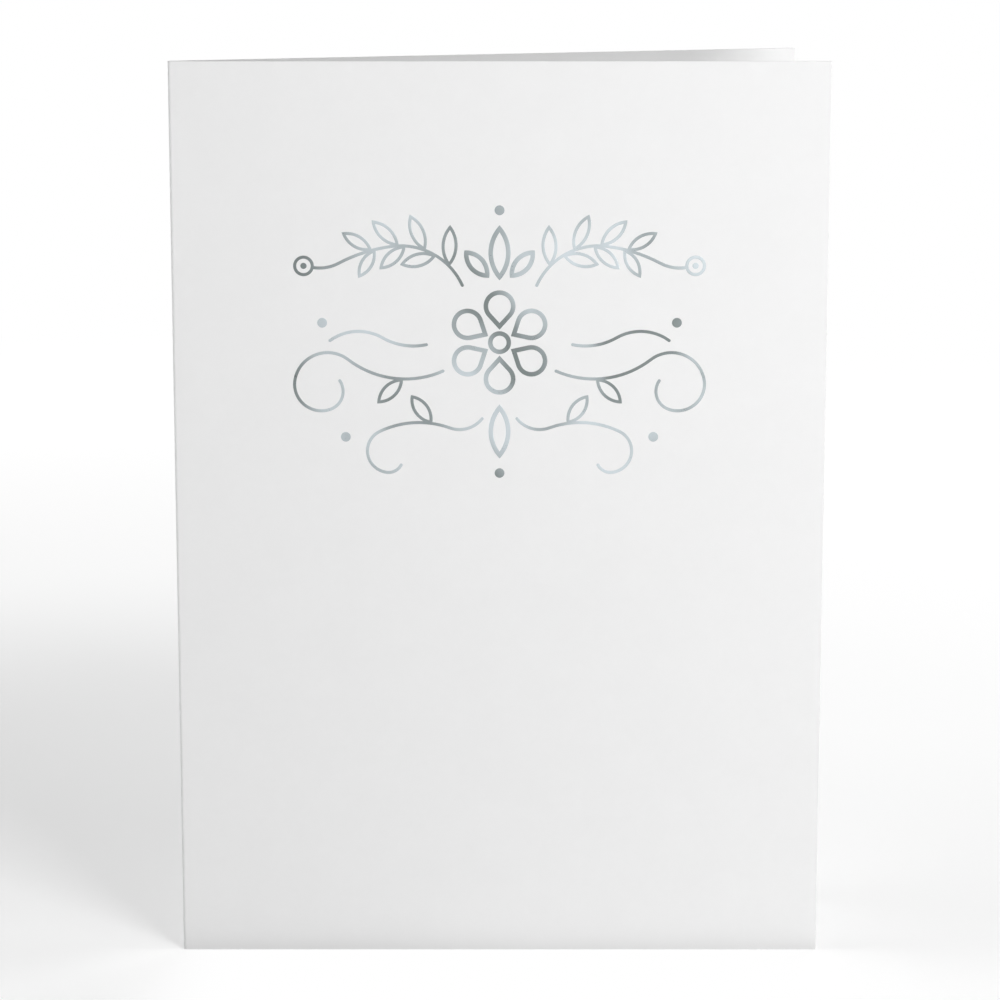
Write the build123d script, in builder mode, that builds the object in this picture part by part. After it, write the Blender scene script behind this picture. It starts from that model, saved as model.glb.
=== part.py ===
from build123d import *
from math import asin, atan2, cos, degrees, radians, sin
import os

# A greeting card: one sheet of white stock, creased once and stood on its cut edges,
# with a silver foil ornament stamped on the front panel.
# X runs from the fold to the free edges, Y from the front panel to the back one, Z up.

# Card
card_width = 127.0
card_height = 177.8
stock_thickness = 0.40
inner_fold_radius = 0.22
crease_bead_radius = 0.12
opening_angle = 15.0

# Foil, whose lines come in two widths
foil_thickness = 0.03
fine_line = 0.60
bold_line = 0.88
ornament_centre_height = 123.4

# Rosette at the middle of the ornament
petal_count = 6
petal_root = 3.2
petal_length = 6.6
petal_tip_radius = 2.65
rosette_ring_radius = 1.8

# Dots, and berries, which are rings with a dot inside
dot_radius = 0.95
berry_radius = 1.7
berry_dot_radius = 0.6

# Crest of leaves above the rosette, and the pendant leaf below it
crest_gap = 2.6
crest_leaf = (9.4, 3.4)
crest_side_leaf = (6.0, 2.6)
crest_side_leaf_base = (2.1, 0.4)
crest_side_leaf_angle = 48.0
pendant_leaf = (9.4, 3.4)
drop_gap = 4.0

# Pen lines of the right half: a start, a heading, and bends.
# A bend is a radius and the angle that the line turns through, positive to the left.
branch_start = (7.2, 11.2)
branch_heading = 66.0
branch_bends = [(13.0, -73.0), (30.0, -21.0), (8.0, 38.0)]
scroll_start = (11.0, -5.6)
scroll_heading = -24.0
scroll_bends = [(18.0, 62.0), (6.5, -118.0), (5.2, -118.0), (3.8, -105.0)]
tendril_start = (14.2, -0.4)
tendril_heading = -12.0
tendril_bends = [(12.0, 42.0), (9.4, -66.0)]
swag_start = (3.4, -15.0)
swag_heading = -52.0
swag_bends = [(5.6, 72.0), (17.5, -46.0), (4.3, -146.0), (2.8, -70.0)]

# Leaves that grow from the pen lines: length and breadth, and their places along the line
leaf_angle = 46.0
leaf_shrink = 0.94
branch_outer_leaf = (7.2, 2.5)
branch_outer_places = [0.14, 0.31, 0.47, 0.63]
branch_inner_leaf = (6.4, 2.3)
branch_inner_places = [0.24, 0.43, 0.61]
scroll_leaf = (6.2, 2.4)
scroll_leaf_places = [0.16]
swag_leaf = (6.2, 2.5)
swag_leaf_places = [0.30]

# Loose dots in the gaps of the right half
loose_dots = [(34.4, 3.9), (30.0, -18.6)]

# An outline closes over edges shorter than this
shortest_edge = 0.001

# Reach of the rosette and section of the folded sheet, worked out
petal_reach = petal_root + petal_length
outer_fold_radius = inner_fold_radius + stock_thickness
panel_length = card_width - outer_fold_radius
card_depth = (
    panel_length * sin(radians(opening_angle))
    + outer_fold_radius * (1 + cos(radians(opening_angle)))
)
front_face_y = -card_depth / 2
fold_centre = Vector(outer_fold_radius - card_width / 2, front_face_y + outer_fold_radius)


def folded_section() -> Sketch:
    """The sheet from above: front panel, fold and back panel, with the bead of the crease."""
    along_front = Vector(panel_length, 0)
    along_back = along_front.rotate(Axis.Z, opening_angle)
    to_bead = Vector(inner_fold_radius, 0).rotate(Axis.Z, 180 + opening_angle / 2)
    fold_turn = opening_angle - 180
    with BuildSketch() as section:
        with BuildLine():
            outer = CenterArc(fold_centre, outer_fold_radius, -90, fold_turn)
            inner = CenterArc(fold_centre, inner_fold_radius, -90, fold_turn)
            Polyline(outer @ 0, outer @ 0 + along_front, inner @ 0 + along_front, inner @ 0)
            Polyline(outer @ 1, outer @ 1 + along_back, inner @ 1 + along_back, inner @ 1)
        make_face()
        with Locations(fold_centre + to_bead):
            Circle(crease_bead_radius)
    return section.sketch


def pen_path(start: tuple, heading: float, bends: list) -> Wire:
    """A pen line of tangent arcs, one after another."""
    point, direction = Vector(start), Vector(1, 0).rotate(Axis.Z, heading)
    with BuildLine() as pen:
        for radius, turn in bends:
            arc = JernArc(point, direction, radius, turn)
            point, direction = arc @ 1, arc % 1
    return pen.wire()


def stroke(path: Wire) -> Sketch:
    """A pen line thickened to a band of foil with round ends."""
    with BuildSketch() as band:
        with BuildLine():
            add(path)
            offset(amount=fine_line / 2, min_edge_length=shortest_edge)
        make_face()
    return band.sketch


def outlined(shape: Sketch, line: float) -> Sketch:
    """The outline of a closed shape as a band of foil, with its corners kept sharp."""
    corners = {"kind": Kind.INTERSECTION, "min_edge_length": shortest_edge}
    with BuildSketch() as band:
        offset(shape, amount=line / 2, mode=Mode.ADD, **corners)
        offset(shape, amount=-line / 2, mode=Mode.SUBTRACT, **corners)
    return band.sketch


def ring(radius: float, line: float) -> Sketch:
    """A ring of foil round the origin."""
    with BuildSketch() as band:
        Circle(radius + line / 2)
        Circle(radius - line / 2, mode=Mode.SUBTRACT)
    return band.sketch


def leaf(size: tuple, line: float) -> Sketch:
    """A leaf in outline, which grows from the side of a line at the origin towards +X."""
    length, breadth = size
    stalk = line / 2
    with BuildSketch() as shape:
        with BuildLine():
            edge = ThreePointArc((stalk, 0), (stalk + length / 2, breadth / 2), (stalk + length, 0))
            mirror(edge, about=Plane.XZ)
        make_face()
    return outlined(shape.sketch, line)


def leaves_on(path: Wire, side: int, size: tuple, places: list) -> Sketch:
    """Leaves along a pen line, 1 for its left side and -1 for its right, each a bit smaller."""
    with BuildSketch() as shape:
        for number, place in enumerate(places):
            heading = path % place
            angle = degrees(atan2(heading.Y, heading.X)) + side * leaf_angle
            length, breadth = (leaf_shrink**number * dimension for dimension in size)
            with Locations(path @ place):
                add(leaf((length, breadth), fine_line), rotation=angle)
    return shape.sketch


def rosette() -> Sketch:
    """Drop-shaped petals round an open centre, the first one pointing up."""
    to_tip_centre = petal_length - petal_tip_radius
    taper = degrees(asin(petal_tip_radius / to_tip_centre))
    tip_centre = (petal_root + to_tip_centre, 0)
    with BuildSketch() as drop:
        with BuildLine():
            tip = CenterArc(tip_centre, petal_tip_radius, -90 - taper, 180 + 2 * taper)
            Polyline(tip @ 1, (petal_root, 0), tip @ 0)
        make_face()
    petal = outlined(drop.sketch, bold_line)
    with BuildSketch() as flower:
        with PolarLocations(0, petal_count, start_angle=90):
            add(petal)
        add(ring(rosette_ring_radius, bold_line))
    return flower.sketch


def crest() -> Sketch:
    """Three leaves that fan out above the rosette, with a dot over them."""
    base = petal_reach + crest_gap
    aside, above = crest_side_leaf_base
    side_leaf = leaf(crest_side_leaf, bold_line)
    with BuildSketch() as shape:
        with Locations((0, base)):
            add(leaf(crest_leaf, bold_line), rotation=90)
        with Locations((aside, base + above)):
            add(side_leaf, rotation=crest_side_leaf_angle)
        with Locations((-aside, base + above)):
            add(side_leaf, rotation=180 - crest_side_leaf_angle)
        with Locations((0, base + crest_leaf[0] + drop_gap)):
            Circle(dot_radius)
    return shape.sketch


def pendant() -> Sketch:
    """A leaf that hangs below the rosette, with a dot under it."""
    base = -petal_reach - crest_gap
    with BuildSketch() as shape:
        with Locations((0, base)):
            add(leaf(pendant_leaf, bold_line), rotation=-90)
        with Locations((0, base - pendant_leaf[0] - drop_gap)):
            Circle(dot_radius)
    return shape.sketch


def side_flourish() -> Sketch:
    """The right half: a leafy branch with a berry, a scroll, a tendril, a swag and dots."""
    branch = pen_path(branch_start, branch_heading, branch_bends)
    scroll = pen_path(scroll_start, scroll_heading, scroll_bends)
    tendril = pen_path(tendril_start, tendril_heading, tendril_bends)
    swag = pen_path(swag_start, swag_heading, swag_bends)
    with BuildSketch() as flourish:
        for path in (branch, scroll, tendril, swag):
            add(stroke(path))
        add(leaves_on(branch, 1, branch_outer_leaf, branch_outer_places))
        add(leaves_on(branch, -1, branch_inner_leaf, branch_inner_places))
        add(leaves_on(scroll, -1, scroll_leaf, scroll_leaf_places))
        add(leaves_on(swag, 1, swag_leaf, swag_leaf_places))
        with Locations(branch @ 1 + (branch % 1) * berry_radius):
            add(ring(berry_radius, fine_line))
            Circle(berry_dot_radius)
        with Locations(*loose_dots):
            Circle(dot_radius)
    return flourish.sketch


with BuildPart() as folded_card:
    add(folded_section())
    extrude(amount=card_height)

ornament_centre = (0, front_face_y, ornament_centre_height)
with BuildPart() as foil_ornament:
    with BuildSketch(Plane(ornament_centre, x_dir=(1, 0, 0), z_dir=(0, -1, 0))):
        add(side_flourish())
        mirror(about=Plane.YZ)
        add(rosette())
        add(crest())
        add(pendant())
    extrude(amount=foil_thickness)

os.makedirs("parts", exist_ok=True)
folded_card.part.label = "folded_card"
export_step(folded_card.part, "parts/folded_card.step")
foil_ornament.part.label = "foil_ornament"
export_step(foil_ornament.part, "parts/foil_ornament.step")
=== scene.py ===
"""Looks of a folded greeting card: one sheet of white stock with a silver foil ornament.

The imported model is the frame. The sheet is swept along its own plan line, the outlines of
the foil are read from its node, and the paper is pressed down a little round each stroke.
All lengths are in metres.
"""

import logging
from dataclasses import dataclass, field, replace
from enum import Enum
from math import ceil, cos, pi, radians, sin
from typing import Any, Iterable, Optional, Union

import bmesh
import bpy
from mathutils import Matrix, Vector
from mathutils.bvhtree import BVHTree
from mathutils.geometry import delaunay_2d_cdt


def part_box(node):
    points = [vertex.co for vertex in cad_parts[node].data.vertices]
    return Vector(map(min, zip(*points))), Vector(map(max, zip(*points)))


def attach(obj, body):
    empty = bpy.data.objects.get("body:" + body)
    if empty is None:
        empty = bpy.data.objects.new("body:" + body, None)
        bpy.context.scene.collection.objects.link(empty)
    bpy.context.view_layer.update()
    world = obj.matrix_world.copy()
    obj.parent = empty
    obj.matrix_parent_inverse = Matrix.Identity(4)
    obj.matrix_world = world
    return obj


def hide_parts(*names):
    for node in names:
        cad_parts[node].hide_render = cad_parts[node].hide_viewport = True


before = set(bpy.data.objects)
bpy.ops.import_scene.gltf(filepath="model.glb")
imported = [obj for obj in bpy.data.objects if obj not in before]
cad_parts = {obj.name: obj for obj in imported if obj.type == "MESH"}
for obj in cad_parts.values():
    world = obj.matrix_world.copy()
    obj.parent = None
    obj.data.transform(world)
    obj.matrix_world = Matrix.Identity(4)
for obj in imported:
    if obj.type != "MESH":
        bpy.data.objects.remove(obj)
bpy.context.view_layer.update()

log = logging.getLogger("greeting_card")

MM = 0.001
MERGE = 1e-7
FILM_MERGE = 1e-6
SQUARE_ON = 0.999
PAPER_IOR = 1.45
SHEET_NODE = "folded_card"
FOIL_NODE = "foil_ornament"
BODY = "root"

Colour = tuple[float, float, float, float]
Number = Union["Socket", float]
Loop = list[Vector]
Span = tuple[float, float]
Fade = tuple[float, float, float]
Sizes = tuple[float, float, float]


class RayKind(Enum):
    """Rays that see the stage as a plain white background."""

    CAMERA = "Is Camera Ray"
    GLOSSY = "Is Glossy Ray"
    TRANSMISSION = "Is Transmission Ray"


class StockFace(Enum):
    """Finishes on the sheet, in the order of its material slots."""

    PAPER = 0
    CUT_EDGE = 1
    # The inside is a darker copy of the stock: painted shade between the panels.
    INSIDE = 2


def grey(value: float) -> Colour:
    """A neutral colour of that linear value."""
    return (value, value, value, 1.0)


def linked(name: str, data: bpy.types.ID) -> bpy.types.Object:
    """Adds an object to the scene.

    Args:
        name: its name, which its data takes too.
        data: its mesh, light or camera.

    Returns:
        The object.
    """
    data.name = name
    made = bpy.data.objects.new(name, data)
    bpy.context.scene.collection.objects.link(made)
    return made


# Node trees


class Socket:
    """A node's output, on which Python's arithmetic adds Math nodes."""

    def __init__(self, graph: "Graph", output: bpy.types.NodeSocket) -> None:
        """Wraps the output of a node.

        Args:
            graph: the tree that the node is in.
            output: the output itself.
        """
        self.graph = graph
        self.output = output

    def __add__(self, other: Number) -> "Socket":
        """The sum of both."""
        return self.graph.math("ADD", self, other)

    __radd__ = __add__

    def __sub__(self, other: Number) -> "Socket":
        """This less the other."""
        return self.graph.math("SUBTRACT", self, other)

    def __rsub__(self, other: Number) -> "Socket":
        """The other less this."""
        return self.graph.math("SUBTRACT", other, self)

    def __mul__(self, other: Number) -> "Socket":
        """The product of both."""
        return self.graph.math("MULTIPLY", self, other)

    __rmul__ = __mul__

    def __truediv__(self, other: Number) -> "Socket":
        """This over the other."""
        return self.graph.math("DIVIDE", self, other)

    def __rtruediv__(self, other: Number) -> "Socket":
        """The other over this."""
        return self.graph.math("DIVIDE", other, self)

    def __pow__(self, other: Number) -> "Socket":
        """This to the power of the other."""
        return self.graph.math("POWER", self, other)

    def greatest(self, other: Number) -> "Socket":
        """The greater of both."""
        return self.graph.math("MAXIMUM", self, other)

    def ease(self, low: float, high: float) -> "Socket":
        """A soft step.

        Args:
            low: the value at which the step is still 0.
            high: the value at which it reaches 1.

        Returns:
            The step from 0 to 1.
        """
        inputs = {"Value": self, "From Min": low, "From Max": high}
        return self.graph.result("ShaderNodeMapRange", inputs, interpolation_type="SMOOTHSTEP")


class Graph:
    """A node tree that the script builds."""

    def __init__(self, tree: bpy.types.NodeTree) -> None:
        """Starts on an empty tree.

        Args:
            tree: the tree to build in.
        """
        self.tree = tree
        self.tree.nodes.clear()

    def node(
        self, kind: str, settings: Optional[dict] = None, inputs: Optional[dict] = None
    ) -> bpy.types.Node:
        """Adds a node.

        Args:
            kind: the node's type, such as ShaderNodeTexNoise.
            settings: its settings, which are set first.
            inputs: values or links, by the name or number of the input.

        Returns:
            The node.
        """
        made = self.tree.nodes.new(kind)
        for name, value in (settings or {}).items():
            setattr(made, name, value)
        for name, value in (inputs or {}).items():
            self.feed(made.inputs[name], value)
        return made

    def feed(self, entry: bpy.types.NodeSocket, value: Any) -> None:
        """Links a socket, or several to one input, or sets a plain value.

        Args:
            entry: the input.
            value: a Socket, a list of them, or a value.
        """
        if isinstance(value, Socket):
            self.tree.links.new(value.output, entry)
        elif isinstance(value, list):
            for one in value:
                self.feed(entry, one)
        else:
            entry.default_value = value

    def out(self, node: bpy.types.Node, name: Union[str, int] = 0) -> Socket:
        """An output of a node, by its name or number."""
        return Socket(self, node.outputs[name])

    def result(self, kind: str, inputs: Optional[dict] = None, **settings: Any) -> Socket:
        """The first output of a new node with those inputs and settings."""
        return self.out(self.node(kind, settings, inputs))

    def math(self, operation: str, first: Number, second: Number) -> Socket:
        """One Math node on two values."""
        return self.result("ShaderNodeMath", {0: first, 1: second}, operation=operation)

    def vector(self, operation: str, first: Any, second: Any, result: str = "Vector") -> Socket:
        """One Vector Math node on two vectors.

        Args:
            operation: what it does.
            first: the first vector.
            second: the second vector, or a number where the operation scales.
            result: the name of the output to take.

        Returns:
            The result.
        """
        made = self.node("ShaderNodeVectorMath", {"operation": operation}, {0: first})
        self.feed(made.inputs["Scale" if operation == "SCALE" else 1], second)
        return self.out(made, result)

    def parts(self, vector: Socket) -> tuple[Socket, Socket, Socket]:
        """The three parts of a vector."""
        made = self.node("ShaderNodeSeparateXYZ", inputs={0: vector})
        return tuple(self.out(made, axis) for axis in "XYZ")

    def plain(self, kind: str, value: float, strength: Optional[float] = None) -> Socket:
        """A shader of one neutral colour.

        Args:
            kind: the shader node's type.
            value: the linear value of its colour.
            strength: how strongly it shines, or None for one that doesn't.

        Returns:
            The shader.
        """
        shine = {} if strength is None else {"Strength": strength}
        return self.result(kind, {"Color": grey(value), **shine})

    def mixed(self, share: Socket, first: Socket, second: Socket) -> Socket:
        """Two shaders mixed.

        Args:
            share: the share of the second shader, from 0 to 1.
            first: the first shader.
            second: the second shader.

        Returns:
            The mixed shader.
        """
        return self.result("ShaderNodeMixShader", {0: share, 1: first, 2: second})

    def white_rays(self) -> Socket:
        """Picks the rays that see a plain white background.

        Returns:
            1 for those rays and 0 for the others.
        """
        path = self.node("ShaderNodeLightPath")
        camera, glossy, through = (self.out(path, kind.value) for kind in RayKind)
        return camera.greatest(glossy).greatest(through)


class Surface(Graph):
    """The node tree of one material."""

    def __init__(self, name: str) -> None:
        """Makes the material and its shader.

        Args:
            name: the material's name.
        """
        self.material = bpy.data.materials.new(name)
        self.material.use_nodes = True
        super().__init__(self.material.node_tree)
        self.shader = self.node("ShaderNodeBsdfPrincipled")
        self.place = self.out(self.node("ShaderNodeTexCoord"), "Object")
        self.end = self.node("ShaderNodeOutputMaterial", inputs={"Surface": self.out(self.shader)})

    def noise(self, size: float, detail: float, at: Optional[Socket] = None) -> Socket:
        """Soft noise from 0 to 1.

        Args:
            size: the width of its features.
            detail: the number of finer layers.
            at: its coordinates, or None for the place on the piece.

        Returns:
            The noise.
        """
        inputs = {"Vector": at or self.place, "Scale": 1.0 / size, "Detail": detail}
        return self.result("ShaderNodeTexNoise", inputs)

    def streaks(self, sizes: Sizes, detail: float, lean: float = 0.0) -> Socket:
        """Soft noise whose features are longer one way than another.

        Args:
            sizes: how long the features are along each axis.
            detail: the number of finer layers.
            lean: the angle that they lean off the fold, in radians.

        Returns:
            The noise, from 0 to 1.
        """
        inputs = {"Vector": self.place, "Rotation": (0.0, lean, 0.0)}
        turned = self.result("ShaderNodeVectorRotate", inputs, rotation_type="EULER_XYZ")
        scales = tuple(1.0 / size for size in sizes)
        return self.noise(1.0, detail, self.vector("MULTIPLY", turned, scales))

    def blend(self, share: Socket, first: Any, second: Any) -> Socket:
        """Two colours mixed.

        Args:
            share: the share of the second colour, from 0 to 1.
            first: the first colour.
            second: the second colour.

        Returns:
            The mixed colour.
        """
        inputs = {"Factor": share, 6: first, 7: second}
        return self.out(self.node("ShaderNodeMix", {"data_type": "RGBA"}, inputs), 2)

    def relief(self, height: Socket, depth: float, strength: float) -> Socket:
        """A normal that follows a height.

        Args:
            height: the height, from about 0 to 1.
            depth: how deep it is at 1.
            strength: how much of it is felt.

        Returns:
            The normal.
        """
        inputs = {"Height": height, "Distance": depth, "Strength": strength}
        return self.result("ShaderNodeBump", inputs)

    def dress(self, **values: Any) -> bpy.types.Material:
        """Sets the shader's sockets, with _ for a space in a name.

        Args:
            values: a value or Socket for each named socket.

        Returns:
            The material.
        """
        for name, value in values.items():
            self.feed(self.shader.inputs[name.replace("_", " ")], value)
        return self.material


class ShapeTree(Graph):
    """A Geometry Nodes tree with named sizes, which turns one mesh into another."""

    def __init__(
        self, name: str, sizes: dict[str, Union[float, int]], materials: list[bpy.types.Material]
    ) -> None:
        """Makes the tree with its inputs.

        Args:
            name: the tree's name.
            sizes: the value of each named input.
            materials: the materials of what it makes, in the order of their slots.
        """
        super().__init__(bpy.data.node_groups.new(name, "GeometryNodeTree"))
        self.materials = materials
        face = self.tree.interface
        face.new_socket(name="Geometry", in_out="INPUT", socket_type="NodeSocketGeometry")
        self.keys = {}
        for label, value in sizes.items():
            kind = "NodeSocketInt" if isinstance(value, int) else "NodeSocketFloat"
            entry = face.new_socket(name=label, in_out="INPUT", socket_type=kind)
            self.keys[entry.identifier] = value
        face.new_socket(name="Geometry", in_out="OUTPUT", socket_type="NodeSocketGeometry")
        self.entry = self.node("NodeGroupInput")

    def size(self, label: str) -> Socket:
        """A named input of the tree."""
        return self.out(self.entry, label)

    def up(self, distance: Number) -> Socket:
        """A vector that points straight up for a distance."""
        return self.result("ShaderNodeCombineXYZ", {"Z": distance})

    def filled(self, outline: Socket) -> Socket:
        """The area inside closed edges, in the ground plane."""
        line = self.result("GeometryNodeMeshToCurve", {0: outline})
        return self.result("GeometryNodeFillCurve", {0: line})

    def stored(self, name: str, kind: str) -> Socket:
        """Reads an attribute of the mesh.

        Args:
            name: the attribute's name.
            kind: its type, FLOAT or FLOAT_VECTOR.

        Returns:
            The attribute's value.
        """
        return self.result("GeometryNodeInputNamedAttribute", {"Name": name}, data_type=kind)

    def store(self, shape: Socket, name: str, value: Socket) -> Socket:
        """Keeps a vector on the points of a shape.

        Args:
            shape: the shape.
            name: the name that the vector is kept under.
            value: the vector.

        Returns:
            The shape with the attribute.
        """
        inputs = {"Geometry": shape, "Name": name, "Value": value}
        return self.result("GeometryNodeStoreNamedAttribute", inputs, data_type="FLOAT_VECTOR")

    def move(self, shape: Socket, offset: Socket, chosen: Any = True) -> Socket:
        """Moves points of a shape.

        Args:
            shape: the shape.
            offset: how far each point moves.
            chosen: which points move.

        Returns:
            The shape with its points moved.
        """
        inputs = {"Geometry": shape, "Selection": chosen, "Offset": offset}
        return self.result("GeometryNodeSetPosition", inputs)

    def end(self, shape: Socket) -> None:
        """Ends the tree in plain geometry, all in its first material.

        Args:
            shape: the finished shape.
        """
        real = self.result("GeometryNodeRealizeInstances", {"Geometry": shape})
        coating = {"Geometry": real, "Material": self.materials[0]}
        coated = self.result("GeometryNodeSetMaterial", coating)
        self.node("NodeGroupOutput", inputs={"Geometry": coated})

    def run(self, start: bpy.types.Mesh, spent: Iterable[str]) -> bpy.types.Mesh:
        """Runs the tree on a mesh.

        Args:
            start: the mesh that it starts from, which is used up.
            spent: the names of attributes that the result doesn't keep.

        Returns:
            The plain mesh that it makes.
        """
        carrier = linked(self.tree.name, start)
        modifier = carrier.modifiers.new(self.tree.name, "NODES")
        modifier.node_group = self.tree
        for key, value in self.keys.items():
            modifier[key] = value
        evaluated = carrier.evaluated_get(bpy.context.evaluated_depsgraph_get())
        made = bpy.data.meshes.new_from_object(evaluated)
        carrier.modifiers.remove(modifier)
        bpy.data.objects.remove(carrier)
        bpy.data.meshes.remove(start)
        made.materials.clear()
        for material in self.materials:
            made.materials.append(material)
        for name in spent:
            made.attributes.remove(made.attributes[name])
        return made


# Finishes


@dataclass(frozen=True)
class PaperFinish:
    """White card stock with a fine tooth, cracked a little along the fold, with painted shade in
    the cracks.
    """

    name: str
    fold_axis: tuple[float, float]
    fold_radius: float
    bright: float = 0.888
    dull: float = 0.872
    roughness: float = 0.62
    specular: float = 0.35
    cloud: float = 7.0 * MM
    formation: float = 1.6 * MM
    tooth: float = 0.30 * MM
    tooth_depth: float = 0.012 * MM
    tooth_strength: float = 0.55
    fibre_sizes: Sizes = (0.16 * MM, 0.16 * MM, 2.4 * MM)
    fibre_leans: Span = (radians(12.0), radians(-64.0))
    fibre_span: Span = (0.5, 0.78)
    crack_sizes: Sizes = (0.10 * MM, 0.10 * MM, 1.1 * MM)
    crack_spread: float = 1.7
    crack_span: Span = (0.52, 0.72)
    cloud_tone: float = 0.55
    formation_tone: float = 0.35
    fibre_tone: float = 0.12
    # How much darker the fold cracks are painted: painted shade in them.
    crack_painted_shade: float = 0.5
    tone_span: Span = (0.2, 0.8)
    tooth_relief: float = 0.6
    formation_relief: float = 0.5
    fibre_relief: float = 0.22
    formation_roughness: float = 0.12
    crack_roughness: float = 0.15

    def fold_cracks(self, surface: Surface) -> Socket:
        """Short cracks that run along the outside of the fold.

        Args:
            surface: the material's tree.

        Returns:
            The cracks, from 0 to 1.
        """
        x, y, _ = surface.parts(surface.place)
        to_x, to_y = x - self.fold_axis[0], y - self.fold_axis[1]
        radius = (to_x * to_x + to_y * to_y) ** 0.5
        near = 1.0 - radius.ease(self.fold_radius, self.crack_spread * self.fold_radius)
        return near * surface.streaks(self.crack_sizes, 2.0).ease(*self.crack_span)

    def material(self) -> bpy.types.Material:
        """Makes the material of one side of the sheet.

        Returns:
            The material.
        """
        surface = Surface(self.name)
        cloud = surface.noise(self.cloud, 3.0)
        formation = surface.noise(self.formation, 2.0)
        laid = [surface.streaks(self.fibre_sizes, 1.0, lean) for lean in self.fibre_leans]
        felt = laid[0].ease(*self.fibre_span) + laid[1].ease(*self.fibre_span)
        cracks = self.fold_cracks(surface)
        tone = cloud * self.cloud_tone + formation * self.formation_tone + felt * self.fibre_tone
        # The fold cracks are painted darker, as painted shade; their bump and roughness are real.
        tone = (tone - cracks * self.crack_painted_shade).ease(*self.tone_span)
        height = surface.noise(self.tooth, 3.0) * self.tooth_relief
        height = height + formation * self.formation_relief + felt * self.fibre_relief - cracks
        rough = self.roughness + (formation - 0.5) * self.formation_roughness
        return surface.dress(
            Base_Color=surface.blend(tone, grey(self.dull), grey(self.bright)),
            Roughness=rough + cracks * self.crack_roughness,
            Normal=surface.relief(height, self.tooth_depth, self.tooth_strength),
            IOR=PAPER_IOR,
            Specular_IOR_Level=self.specular,
        )


@dataclass(frozen=True)
class CutEdgeFinish:
    """The guillotined edge of the stock, which shows its layers of fibre."""

    bright: float = 0.87
    dull: float = 0.78
    roughness: float = 0.8
    specular: float = 0.25
    layer_sizes: Sizes = (1.5 * MM, 0.05 * MM, 1.5 * MM)
    lint: float = 0.09 * MM
    layer_share: float = 0.6
    lint_share: float = 0.4
    tone_span: Span = (0.3, 0.7)
    lint_roughness: float = 0.1
    depth: float = 0.02 * MM
    strength: float = 0.6

    def material(self) -> bpy.types.Material:
        """Makes the material of the cut edges.

        Returns:
            The material.
        """
        surface = Surface("card_cut_edge")
        layers = surface.streaks(self.layer_sizes, 2.0)
        lint = surface.noise(self.lint, 2.0)
        body = layers * self.layer_share + lint * self.lint_share
        tone = body.ease(*self.tone_span)
        return surface.dress(
            Base_Color=surface.blend(tone, grey(self.dull), grey(self.bright)),
            Roughness=self.roughness + (lint - 0.5) * self.lint_roughness,
            Normal=surface.relief(body, self.depth, self.strength),
            IOR=PAPER_IOR,
            Specular_IOR_Level=self.specular,
        )


@dataclass(frozen=True)
class FoilFinish:
    """Hot-stamped silver foil, whose colour is painted in patches from grey-green to pale
    blue-grey: painted reflection, with a faint tint of its own.
    """

    # dark and pale are the ends of the painted reflection on the foil.
    dark: Colour = (0.183, 0.208, 0.206, 1.0)
    pale: Colour = (0.509, 0.558, 0.587, 1.0)
    painted_reflection_sizes: Sizes = (15.0 * MM, 15.0 * MM, 24.0 * MM)
    painted_reflection_lean: float = radians(18.0)
    painted_reflection_span: Span = (0.32, 0.66)
    ripple: float = 3.5 * MM
    ripple_reflection_share: float = 0.06
    grain: float = 0.26 * MM
    grain_depth: float = 0.006 * MM
    grain_strength: float = 0.4
    roughness: float = 0.30
    grain_roughness: float = 0.10
    ripple_roughness: float = 0.06

    def material(self) -> bpy.types.Material:
        """Makes the material of the foil.

        Returns:
            The material.
        """
        surface = Surface("silver_foil")
        painted_reflection_drift = surface.streaks(self.painted_reflection_sizes, 1.0, self.painted_reflection_lean)
        ripple = surface.noise(self.ripple, 1.0)
        grain = surface.noise(self.grain, 2.0)
        # The foil's colour goes between dark and pale in patches and ripples: painted reflection.
        share = (painted_reflection_drift + (ripple - 0.5) * self.ripple_reflection_share).ease(*self.painted_reflection_span)
        rough = self.roughness + (grain - 0.5) * self.grain_roughness
        return surface.dress(
            Base_Color=surface.blend(share, self.dark, self.pale),
            Metallic=1.0,
            Roughness=rough + (ripple - 0.5) * self.ripple_roughness,
            Normal=surface.relief(grain + ripple, self.grain_depth, self.grain_strength),
        )


# The sheet and the foil


def quarter(steps: int) -> list[float]:
    """Angles from zero to a right angle, in even steps."""
    return [i * pi / 2 / steps for i in range(steps + 1)]


def ring(first: int, count: int) -> list[tuple[int, int]]:
    """The edges of a closed line of points that are numbered from the first one."""
    return [(first + i, first + (i + 1) % count) for i in range(count)]


def wire_mesh(runs: Iterable[Loop], closed: bool) -> bpy.types.Mesh:
    """A mesh of edges alone.

    Args:
        runs: lines of points.
        closed: whether each line ends where it starts.

    Returns:
        The mesh.
    """
    points, edges = [], []
    for run in runs:
        around = ring(len(points), len(run))
        edges += around if closed else around[:-1]
        points += [point.to_3d() for point in run]
    mesh = bpy.data.meshes.new("lines")
    mesh.from_pydata(points, edges, [])
    return mesh


def keep(mesh: bpy.types.Mesh, name: str, kind: str, values: Iterable) -> None:
    """Keeps an attribute on the points of a mesh.

    Args:
        mesh: the mesh.
        name: the attribute's name.
        kind: its type, FLOAT or FLOAT_VECTOR.
        values: one value for each point.
    """
    layer = mesh.attributes.new(name, kind, "POINT")
    for entry, value in zip(layer.data, values):
        setattr(entry, "value" if kind == "FLOAT" else "vector", value)


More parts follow.
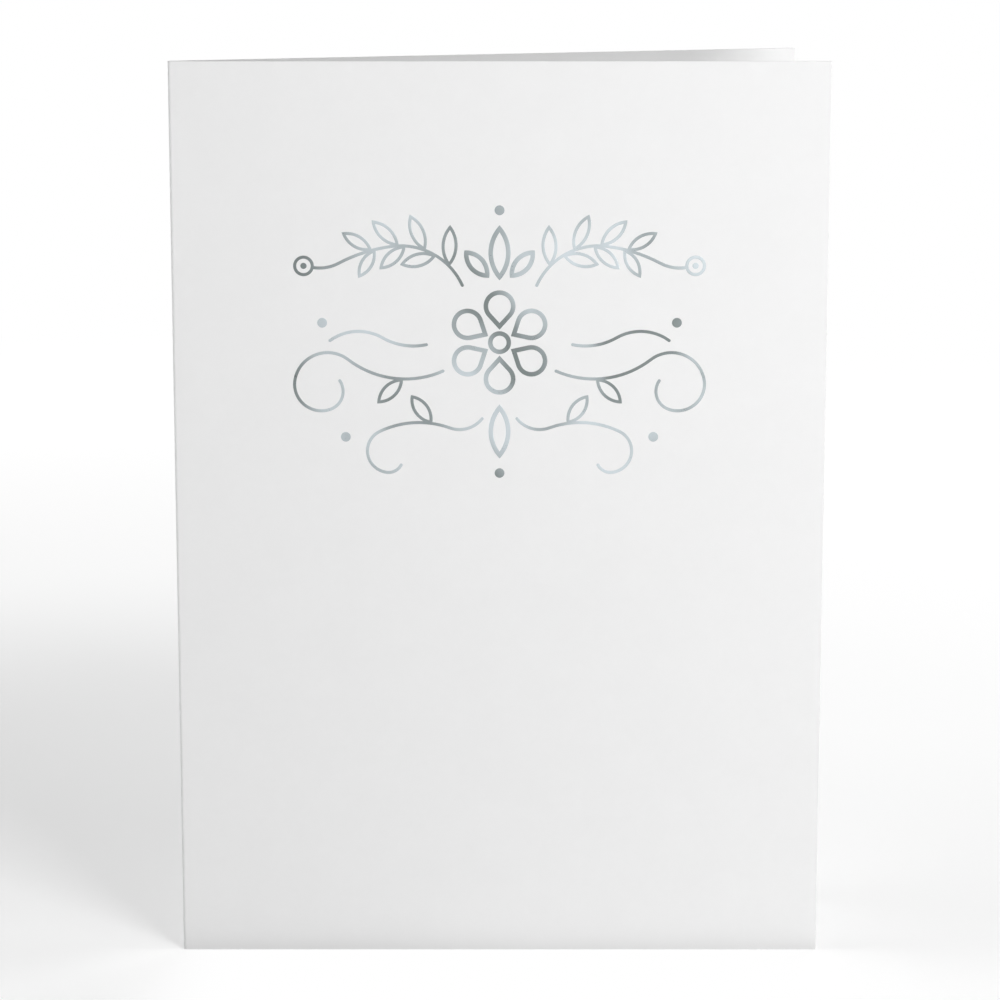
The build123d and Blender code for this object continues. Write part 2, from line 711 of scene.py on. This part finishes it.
@dataclass
class Outlines:
    """The foil's outlines in the panel's plane, each with the foil on its left."""

    loops: list[Loop] = field(default_factory=list)
    front_facing: float = 0.5
    corner: float = radians(40.0)
    finest_turn: float = radians(4.0)
    spare_turn: float = 0.05
    straight_ratio: float = 2.5
    least_spread: float = 0.35

    @classmethod
    def read(cls, node: bpy.types.Object) -> "Outlines":
        """Reads the outlines of the foil's front face.

        Args:
            node: the foil's node.

        Returns:
            The outlines, each as the points of a closed loop.
        """
        shape = bmesh.new()
        shape.from_mesh(node.data)
        bmesh.ops.remove_doubles(shape, verts=shape.verts, dist=MERGE)
        facing = [face for face in shape.faces if face.normal.y < -cls.front_facing]
        front = set(facing)
        after = {}
        for face in facing:
            for corner in face.loops:
                if sum(other in front for other in corner.edge.link_faces) == 1:
                    after[corner.vert] = corner.link_loop_next.vert
        loops = []
        while after:
            start = vert = next(iter(after))
            loop = []
            while vert in after:
                loop.append(Vector((vert.co.x, vert.co.z)))
                vert = after.pop(vert)
            if vert is start:
                loops.append(loop)
        shape.free()
        return cls(loops)

    def steps(self, loop: Loop) -> list[tuple[Vector, Vector]]:
        """The step to each point of a loop, and the one on from it."""
        return [(loop[i] - loop[i - 1], loop[j] - loop[i]) for i, j in ring(0, len(loop))]

    def tangents(self, loop: Loop) -> list[Optional[Vector]]:
        """The direction of a loop at each of its points.

        Args:
            loop: the loop.

        Returns:
            The directions, with None at a sharp corner.
        """
        found = []
        for before, after in self.steps(loop):
            near, far = before.length, after.length
            if before.angle(after) > self.corner:
                found.append(None)
            elif max(near, far) > self.straight_ratio * min(near, far):
                found.append((before if near > far else after).normalized())
            else:
                found.append((before * (far / near) + after * (near / far)).normalized())
        return found

    def finer(self) -> "Outlines":
        """The same outlines with points added along their curves.

        Returns:
            The finer outlines.
        """
        made = []
        for loop in self.loops:
            directions = self.tangents(loop)
            fine = []
            for i, j in ring(0, len(loop)):
                fine += self.bent(loop[i], loop[j], directions[i], directions[j])
            made.append(fine)
        return Outlines(made)

    def bent(
        self, start: Vector, end: Vector, leaving: Optional[Vector], arriving: Optional[Vector]
    ) -> Loop:
        """Points along the curve between two points of a loop, without the last one.

        Args:
            start: the first point.
            end: the second point.
            leaving: the direction at the first point, or None at a corner.
            arriving: the direction at the second point, or None at a corner.

        Returns:
            The points.
        """
        chord = end - start
        ahead = chord.normalized()
        if leaving is None and arriving is None:
            return [start]
        if leaving is None:
            leaving = 2 * arriving.dot(ahead) * ahead - arriving
        if arriving is None:
            arriving = 2 * leaving.dot(ahead) * ahead - leaving
        turn = leaving.angle(arriving)
        steps = max(1, ceil(turn / self.finest_turn - self.spare_turn))
        reach = chord.length / (3 * cos(turn / 4) ** 2)
        handles = [start, start + leaving * reach, end - arriving * reach, end]
        points = []
        for step in range(steps):
            t = step / steps
            shares = ((1 - t) ** 3, 3 * t * (1 - t) ** 2, 3 * t * t * (1 - t), t**3)
            points.append(sum((p * s for p, s in zip(handles, shares)), Vector((0.0, 0.0))))
        return points

    def outward(self, loop: Loop) -> list[Vector]:
        """How the points of a loop move for an outline one unit further out.

        Args:
            loop: the loop.

        Returns:
            The move of each point.
        """
        moves = []
        for before, after in self.steps(loop):
            sides = [Vector((d.y, -d.x)).normalized() for d in (before, after)]
            both = sides[0] + sides[1]
            moves.append(both / max(self.least_spread, 1 + sides[0].dot(sides[1])))
        return moves

    def shifted(self, distance: float) -> list[Loop]:
        """The outlines moved outwards.

        Args:
            distance: how far.

        Returns:
            The loops of the moved outlines.
        """
        return [
            [point + move * distance for point, move in zip(loop, self.outward(loop))]
            for loop in self.loops
        ]

    def wall(self) -> BVHTree:
        """A wall along the outlines, from which distances in the panel are measured.

        Returns:
            The wall, as a tree for finding its nearest point.
        """
        verts, faces = [], []
        for loop in self.loops:
            first = len(verts)
            for point in loop:
                verts += [(point.x, -MM, point.y), (point.x, MM, point.y)]
            for i, j in ring(0, len(loop)):
                a, b = first + 2 * i, first + 2 * j
                faces.append((a, b, b + 1, a + 1))
        return BVHTree.FromPolygons(verts, faces)


@dataclass
class FoldedSheet:
    """The card's one sheet: front panel, fold and back panel, standing on its cut edges."""

    low: Vector
    high: Vector
    stock: float = 0.40 * MM
    inner_fold: float = 0.22 * MM
    opening: float = radians(15.0)
    fold_steps: int = 44
    edge_radius: float = 0.05 * MM
    edge_steps: int = 3
    bead: float = 0.12 * MM
    bead_reach: float = radians(33.0)
    bead_shell: Span = (1.2, 1.9)
    press_depth: float = 0.015 * MM
    press_width: float = 0.12 * MM
    press_steps: int = 3
    cut_facing: float = 0.3
    mouth_facing: float = 0.05

    @property
    def outer_fold(self) -> float:
        """Radius of the outside of the fold."""
        return self.inner_fold + self.stock

    @property
    def fold_axis(self) -> Vector:
        """Where the axis of the fold stands, seen from above."""
        return Vector((self.low.x + self.outer_fold, self.low.y + self.outer_fold))

    @property
    def panel(self) -> float:
        """Length of each flat panel, from the fold to its free edge."""
        return self.high.x - self.fold_axis.x

    def plan_line(self) -> tuple[Loop, list[float]]:
        """The middle of the sheet seen from above, from one free edge to the other.

        Returns:
            The points, and how much thinner each side of the sheet is at each of them, where
            the free edges are rounded.
        """
        middle = self.inner_fold + self.stock / 2
        rounding = [
            (self.edge_radius * (1 - cos(turn)), self.edge_radius * (1 - sin(turn)))
            for turn in quarter(self.edge_steps)
        ]
        along_back = Vector((cos(self.opening), sin(self.opening)))
        across_back = Vector((-sin(self.opening), cos(self.opening)))
        points = [self.fold_axis + Vector((self.panel - run, -middle)) for run, _ in rounding]
        sweep = pi - self.opening
        for i in range(self.fold_steps + 1):
            angle = -pi / 2 - sweep * i / self.fold_steps
            points.append(self.fold_axis + middle * Vector((cos(angle), sin(angle))))
        back = self.fold_axis + middle * across_back
        points += [back + along_back * (self.panel - run) for run, _ in reversed(rounding)]
        thinner = [thin for _, thin in rounding]
        thinning = thinner + [0.0] * (self.fold_steps + 1) + thinner[::-1]
        return points, thinning

    def sweep_tree(self, materials: list[bpy.types.Material]) -> ShapeTree:
        """The tree that sweeps the sheet's upright section along its plan line.

        Args:
            materials: the materials of the stock, one for each kind of face.

        Returns:
            The tree.
        """
        sizes = {
            "Card height": self.high.z - self.low.z,
            "Stock thickness": self.stock,
            "Edge radius": self.edge_radius,
            "Edge steps": self.edge_steps,
            "Inner fold radius": self.inner_fold,
            "Crease bead": self.bead,
        }
        tree = ShapeTree("sheet_sweep", sizes, materials)
        line = tree.result("GeometryNodeMeshToCurve", {0: tree.size("Geometry")})
        line = tree.result("GeometryNodeSetCurveNormal", {"Curve": line}, mode="Z_UP")
        line = tree.store(line, "middle", tree.result("GeometryNodeInputPosition"))
        line = tree.store(line, "across", tree.result("GeometryNodeInputNormal"))
        sides = {"Width": tree.size("Stock thickness"), "Height": tree.size("Card height")}
        section = tree.result("GeometryNodeCurvePrimitiveQuadrilateral", sides)
        rounded = {
            "Curve": section,
            "Radius": tree.size("Edge radius"),
            "Count": tree.size("Edge steps"),
        }
        section = tree.result("GeometryNodeFilletCurve", rounded, mode="POLY")
        swept = {"Curve": line, "Profile Curve": section, "Fill Caps": True}
        sheet = self.thinned(tree, tree.result("GeometryNodeCurveToMesh", swept))
        lift = tree.up(tree.size("Card height") * 0.5)
        tree.end(tree.move(self.creased(tree, sheet), lift))
        return tree

    def thinned(self, tree: ShapeTree, sheet: Socket) -> Socket:
        """The sheet with its free edges rounded.

        Args:
            tree: the tree to add to.
            sheet: the swept sheet.

        Returns:
            The sheet, thinner at its free edges.
        """
        across = tree.stored("across", "FLOAT_VECTOR")
        place = tree.result("GeometryNodeInputPosition")
        off = tree.vector("SUBTRACT", place, tree.stored("middle", "FLOAT_VECTOR"))
        side = tree.vector("DOT_PRODUCT", off, across, "Value")
        sign = tree.result("ShaderNodeMath", {0: side}, operation="SIGN")
        shrink = sign * tree.stored("thinning", "FLOAT") * -1.0
        return tree.move(sheet, tree.vector("SCALE", across, shrink))

    def creased(self, tree: ShapeTree, sheet: Socket) -> Socket:
        """The sheet with the bead that scoring leaves along the inside of the fold.

        Args:
            tree: the tree to add to.
            sheet: the swept sheet.

        Returns:
            The sheet with its bead.
        """
        axis = (self.fold_axis.x, self.fold_axis.y, 0.0)
        place = tree.result("GeometryNodeInputPosition")
        flat = tree.vector("MULTIPLY", place, (1.0, 1.0, 0.0))
        away = tree.vector("SUBTRACT", flat, axis)
        radius = tree.vector("LENGTH", away, (0.0, 0.0, 0.0), "Value")
        heading = pi + self.opening / 2
        middle = (cos(heading), sin(heading), 0.0)
        outward = tree.vector("NORMALIZE", away, (0.0, 0.0, 0.0))
        facing = tree.vector("DOT_PRODUCT", outward, middle, "Value")
        inside = 1.0 - (radius / tree.size("Inner fold radius")).ease(*self.bead_shell)
        rise = facing.ease(cos(self.bead_reach), 1.0) * inside * tree.size("Crease bead") * -1.0
        return tree.move(sheet, tree.vector("SCALE", outward, rise))

    def build(
        self, outlines: Outlines, finishes: dict[StockFace, Union[PaperFinish, CutEdgeFinish]]
    ) -> bpy.types.Object:
        """Builds the sheet with the paper pressed in under the foil.

        Args:
            outlines: the foil's outlines.
            finishes: the finish of each kind of face.

        Returns:
            The sheet as one closed piece.
        """
        points, thinning = self.plan_line()
        start = wire_mesh([points], closed=False)
        keep(start, "thinning", "FLOAT", thinning)
        materials = [finishes[kind].material() for kind in StockFace]
        mesh = self.sweep_tree(materials).run(start, ("middle", "across", "thinning"))
        shape = bmesh.new()
        shape.from_mesh(mesh)
        bmesh.ops.remove_doubles(shape, verts=shape.verts, dist=MERGE)
        bmesh.ops.recalc_face_normals(shape, faces=shape.faces)
        self.press(shape, outlines)
        for face in shape.faces:
            face.material_index = self.kind(face).value
        bmesh.ops.triangulate(shape, faces=[f for f in shape.faces if len(f.verts) > 4])
        shape.to_mesh(mesh)
        shape.free()
        return linked("card_sheet", mesh)

    def kind(self, face: bmesh.types.BMFace) -> StockFace:
        """Which finish a face has.

        Args:
            face: a face of the sheet.

        Returns:
            The kind: cut at the top, the bottom and the free sides, and inside where it looks
            to the mouth between the panels; the inside finish is painted darker, as painted shade.
        """
        middle, normal = face.calc_center_median(), face.normal
        turns = (0.0, self.opening, self.opening / 2)
        front, back, mouth = (normal.dot(Vector((cos(a), sin(a), 0.0))) for a in turns)
        at_side = middle.x > 0 and max(front, back) > self.cut_facing
        if at_side or abs(normal.z) > self.cut_facing:
            return StockFace.CUT_EDGE
        if middle.y > self.low.y + self.stock / 2 and mouth > self.mouth_facing:
            return StockFace.INSIDE
        return StockFace.PAPER

    def press(self, shape: bmesh.types.BMesh, outlines: Outlines) -> None:
        """Presses the front of the sheet in under the foil, with a soft shoulder round it.

        Args:
            shape: the sheet, whose front panel is one face.
            outlines: the foil's outlines.
        """
        facing = [face for face in shape.faces if face.normal.y < -SQUARE_ON]
        front = max(facing, key=lambda face: face.calc_area())
        rim = list(front.verts)
        points = [Vector((vert.co.x, vert.co.z)) / MM for vert in rim]
        edges = ring(0, len(rim))
        for step in range(self.press_steps + 1):
            away = self.press_width * step / self.press_steps
            for loop in outlines.shifted(away):
                edges += ring(len(points), len(loop))
                points += [point / MM for point in loop]
        flat, _, faces, origins, _, _ = delaunay_2d_cdt(points, edges, [], 0, FILM_MERGE)
        wall = outlines.wall()
        made = []
        for point, origin in zip(flat, origins):
            corners = [i for i in origin if i < len(rim)]
            if corners:
                made.append(rim[corners[0]])
            else:
                at = point * MM
                pressed = self.low.y + self.depth_at(wall, at)
                made.append(shape.verts.new((at.x, pressed, at.y)))
        shape.faces.remove(front)
        for corners in faces:
            verts = [made[i] for i in corners]
            face = shape.faces.new(verts)
            face.normal_update()
            if face.normal.y > 0:
                face.normal_flip()
            depths = [vert.co.y for vert in verts]
            face.smooth = max(depths) - min(depths) > MERGE

    def depth_at(self, wall: BVHTree, at: Vector) -> float:
        """How deep the paper is pressed at a point of the panel.

        Args:
            wall: the wall along the foil's outlines.
            at: the point, across and up the panel.

        Returns:
            The depth.
        """
        distance = wall.find_nearest((at.x, 0.0, at.y))[3]
        share = min(1.0, distance / self.press_width)
        return self.press_depth * 0.5 * (1 + cos(pi * share))


@dataclass
class FoilOrnament:
    """The film of foil that is stamped on the front panel."""

    front: float
    thickness: float
    seat: float
    rim: float = 0.03 * MM
    rim_steps: int = 3

    def film_tree(self, foil: bpy.types.Material) -> ShapeTree:
        """The tree that turns flat outlines into a film with a rounded rim.

        Args:
            foil: the foil's material.

        Returns:
            The tree.
        """
        sizes = {"Thickness": self.thickness, "Seat depth": self.seat, "Rim": self.rim}
        tree = ShapeTree("foil_film", sizes, [foil])
        outline, rim = tree.size("Geometry"), tree.size("Rim")
        whole = tree.size("Thickness") + tree.size("Seat depth")
        inward = tree.stored("inward", "FLOAT_VECTOR")
        walls, top, inset, height = outline, True, 0.0, 0.0
        for angle in quarter(self.rim_steps):
            grown = {"Mesh": walls, "Selection": top, "Offset Scale": 0.0}
            extruded = tree.node("GeometryNodeExtrudeMesh", {"mode": "EDGES"}, grown)
            top = tree.out(extruded, "Top")
            reach = rim * (1 - cos(angle) - inset)
            rise = rim * (sin(angle) - height) if angle else whole - rim
            step = tree.vector("ADD", tree.vector("SCALE", inward, reach), tree.up(rise))
            walls = tree.move(tree.out(extruded, "Mesh"), step, top)
            inset, height = 1 - cos(angle), sin(angle)
        chosen = {"Geometry": walls, "Selection": top}
        edge = tree.result("GeometryNodeSeparateGeometry", chosen, domain="EDGE")
        lid = tree.move(tree.filled(edge), tree.up(whole))
        parts = [walls, lid, tree.filled(outline)]
        film = tree.result("GeometryNodeJoinGeometry", {0: parts})
        merging = {"Geometry": film, "Distance": FILM_MERGE}
        tree.end(tree.result("GeometryNodeMergeByDistance", merging))
        return tree

    def build(self, outlines: Outlines, finish: FoilFinish) -> bpy.types.Object:
        """Builds the foil on the front panel.

        Args:
            outlines: the foil's outlines.
            finish: the foil's finish.

        Returns:
            The foil.
        """
        start = wire_mesh(outlines.loops, closed=True)
        inward = [-move.to_3d() for loop in outlines.loops for move in outlines.outward(loop)]
        keep(start, "inward", "FLOAT_VECTOR", inward)
        mesh = self.film_tree(finish.material()).run(start, ["inward"])
        shape = bmesh.new()
        shape.from_mesh(mesh)
        for vert in shape.verts:
            x, up, out = vert.co
            vert.co = (x, self.front + self.seat - out, up)
        bmesh.ops.recalc_face_normals(shape, faces=shape.faces)
        for face in shape.faces:
            face.smooth = abs(face.normal.y) < SQUARE_ON
        shape.to_mesh(mesh)
        shape.free()
        return linked("foil_lines", mesh)


# The stage


@dataclass
class SoftLamp:
    """A soft box that faces the card, in degrees off its front, metres and watts."""

    name: str
    azimuth: float
    distance: float
    height: float
    width: float
    tall: float
    power: float
    aim: float = 0.09

    def hang(self) -> None:
        """Puts the lamp in its place, aimed at the card."""
        light = bpy.data.lights.new(self.name, "AREA")
        light.shape = "RECTANGLE"
        light.size = self.width
        light.size_y = self.tall
        light.energy = self.power
        made = linked(self.name, light)
        turn = radians(self.azimuth)
        made.location = (self.distance * sin(turn), -self.distance * cos(turn), self.height)
        towards = Vector((0.0, 0.0, self.aim)) - made.location
        made.rotation_euler = towards.to_track_quat("-Z", "Y").to_euler()


@dataclass
class Studio:
    """A pale floor, a pale surround, soft lamps and the camera.

    A fade has the distance where it starts, the one where it is full, and its share.
    Distances are from the middle of the card's foot.
    """

    surround: float = 0.143
    floor_bounce: float = 0.45
    floor_shade: float = 0.90
    floor_lift: float = 0.274
    middle_fade: Fade = (0.22, 0.36, 0.55)
    far_fade: Fade = (0.36, 0.80, 1.0)
    front_fade: Fade = (0.01, 0.13, 1.0)
    foot_fade: Fade = (0.0161, 0.0171, 1.0)
    foot_sides: Span = (0.052, 0.092)
    lit_fade: Fade = (0.05, 0.16, 0.5)
    lit_side: Span = (0.03, 0.09)
    foot_middle: float = 0.0187
    foot_depth: float = 0.0020
    foot_width: float = 0.065
    foot_end: float = 0.064
    front_bounce: float = 0.56
    foot_bounce: float = 0.09
    front_side: Span = (-0.030, 0.0)
    front_near: Span = (0.017, 0.020)
    front_far: Span = (0.025, 0.050)
    floor_reach: float = 12.0
    floor_drop: float = 0.02 * MM
    lamps: list[SoftLamp] = field(
        default_factory=lambda: [
            SoftLamp("low_key_softbox", 31.0, 0.75, 0.095, 0.36, 0.15, 2.22),
            SoftLamp("high_key_softbox", 31.0, 0.75, 0.53, 0.30, 0.50, 2.62),
            SoftLamp("right_softbox", 60.0, 1.0, 0.60, 0.40, 0.30, 1.45),
            SoftLamp("front_left_softbox", -50.0, 0.9, 0.09, 0.40, 0.14, 0.83),
            SoftLamp("left_side_softbox", -92.0, 0.8, 0.12, 0.40, 0.20, 1.80),
            SoftLamp("back_left_softbox", -155.0, 0.9, 0.12, 0.50, 0.20, 1.80),
            SoftLamp("back_right_softbox", 150.0, 0.8, 0.50, 0.50, 0.34, 3.25),
        ]
    )
    camera_place: tuple[float, float, float] = (0.00009, -0.70156, 0.2320)
    camera_pitch: float = 11.54
    camera_lens: float = 128.4
    sensor: float = 36.0
    camera_clip: Span = (0.01, 50.0)

    def whiteness(self, x: Socket, y: Socket) -> Socket:
        """How far the look of the floor has gone to white at a place; ahead of the card's foot and
        behind it on the right this is painted light that lifts the card's shade.

        Args:
            x: the place across, from the middle of the card's foot.
            y: the place behind the middle of the foot.

        Returns:
            0 where the card's shadow lies, and up to 1 far off.
        """
        away, ahead = (x * x + y * y) ** 0.5, y * -1.0
        beside = (x * x) ** 0.5
        # The fades ahead of the foot and on the right paint the floor white over the card's shade:
        # painted light.
        steps = [
            (away, self.middle_fade, 1.0),
            (away, self.far_fade, 1.0),
            (ahead, self.front_fade, 1.0),
            (ahead, self.foot_fade, 1.0 - beside.ease(*self.foot_sides)),
            (y, self.lit_fade, x.ease(*self.lit_side)),
        ]
        shaded = 1.0
        for distance, (start, end, share), where in steps:
            shaded = shaded * (1.0 - distance.ease(start, end) * where * share)
        return 1.0 - shaded

    def bounce(self, surface: Surface, x: Socket, y: Socket) -> Socket:
        """The light that the floor gives back to the card, with little from along its foot and
        more just ahead of its right half:
        painted shade and painted light on the card's lower edge.

        Args:
            surface: the floor's tree.
            x: the place across, from the middle of the card's foot.
            y: the place behind the middle of the foot.

        Returns:
            The shader.
        """
        off, ahead = y + self.foot_middle, y * -1.0
        past = (off * off).ease((0.5 * self.foot_depth) ** 2, self.foot_depth**2)
        beside = (x * x).ease(self.foot_end**2, self.foot_width**2)
        lit = x.ease(*self.front_side)
        before = ahead.ease(*self.front_near) * (1.0 - ahead.ease(*self.front_far))
        # The floor's colour for these rays is painted dark at the foot, as painted shade on the
        # card's lower edge, and lighter ahead of its right half, as painted light.
        levels = (0.0, self.foot_bounce, self.floor_bounce, self.front_bounce)
        none, little, usual, more = (surface.plain("ShaderNodeBsdfDiffuse", v) for v in levels)
        at_foot = surface.mixed(lit, none, little)
        further = surface.mixed(lit * before, usual, more)
        return surface.mixed(past.greatest(beside), at_foot, further)

    def lay_floor(self) -> None:
        """Lays the floor, which keeps the card's shadow near it, has painted light over it ahead
        of the card and on its right, and is white further off.
        """
        surface = Surface("pale_floor")
        surface.tree.nodes.remove(surface.shader)
        x, y, _ = surface.parts(surface.place)
        shade = surface.plain("ShaderNodeBsdfDiffuse", self.floor_shade)
        lift = surface.plain("ShaderNodeEmission", 1.0, self.floor_lift)
        white = surface.plain("ShaderNodeEmission", 1.0, 1.0)
        near = surface.result("ShaderNodeAddShader", {0: shade, 1: lift})
        seen = surface.mixed(self.whiteness(x, y), near, white)
        whole = surface.mixed(surface.white_rays(), self.bounce(surface, x, y), seen)
        surface.feed(surface.end.inputs["Surface"], whole)
        reach, level = self.floor_reach, -self.floor_drop
        sides = [(-reach, -reach), (reach, -reach), (reach, reach), (-reach, reach)]
        corners = [(across, deep, level) for across, deep in sides]
        mesh = bpy.data.meshes.new("studio_floor")
        mesh.from_pydata(corners, [], [(0, 1, 2, 3)])
        mesh.materials.append(surface.material)
        floor = linked("studio_floor", mesh)

    def light_surround(self) -> None:
        """Gives the world its even light."""
        world = bpy.data.worlds.new("studio_surround")
        world.use_nodes = True
        bpy.context.scene.world = world
        graph = Graph(world.node_tree)
        soft = graph.plain("ShaderNodeBackground", 1.0, self.surround)
        white = graph.plain("ShaderNodeBackground", 1.0, 1.0)
        mixed = graph.mixed(graph.white_rays(), soft, white)
        graph.node("ShaderNodeOutputWorld", inputs={"Surface": mixed})

    def place_camera(self) -> None:
        """Places the camera where the photograph was taken from."""
        data = bpy.data.cameras.new("photo_camera")
        data.lens = self.camera_lens
        data.sensor_width = self.sensor
        data.clip_start, data.clip_end = self.camera_clip
        camera = linked("photo_camera", data)
        camera.location = self.camera_place
        camera.rotation_euler = (radians(90.0 - self.camera_pitch), 0.0, 0.0)
        bpy.context.scene.camera = camera

    def build(self) -> None:
        """Builds the whole stage."""
        bpy.context.scene.view_settings.view_transform = "Standard"
        self.place_camera()
        self.lay_floor()
        self.light_surround()
        for lamp in self.lamps:
            lamp.hang()


def report(piece: bpy.types.Object) -> None:
    """Logs the size of a piece."""
    piece.data.calc_loop_triangles()
    log.info("%s: %d triangles", piece.name, len(piece.data.loop_triangles))


def main() -> None:
    """Builds the card and its stage."""
    logging.basicConfig(level=logging.INFO, format="%(message)s")
    Studio().build()
    sheet_low, sheet_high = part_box(SHEET_NODE)
    foil_low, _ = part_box(FOIL_NODE)
    outlines = Outlines.read(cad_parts[FOIL_NODE]).finer()
    log.info("outlines: %d, with %d points", len(outlines.loops), sum(map(len, outlines.loops)))

    sheet = FoldedSheet(sheet_low, sheet_high)
    outside = PaperFinish("card_stock", tuple(sheet.fold_axis), sheet.outer_fold)
    # The inside is the same stock painted darker: painted shade in the mouth between the panels.
    inside = replace(outside, name="card_inside_painted_shade", bright=0.852, dull=0.837, roughness=0.70)
    finishes = {
        StockFace.PAPER: outside,
        StockFace.CUT_EDGE: CutEdgeFinish(),
        StockFace.INSIDE: inside,
    }
    card = sheet.build(outlines, finishes)
    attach(card, BODY)
    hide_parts(SHEET_NODE)
    report(card)

    thickness = sheet_low.y - foil_low.y
    foil = FoilOrnament(sheet_low.y, thickness, sheet.press_depth).build(outlines, FoilFinish())
    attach(foil, BODY)
    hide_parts(FOIL_NODE)
    report(foil)


if __name__ == "__main__":
    main()
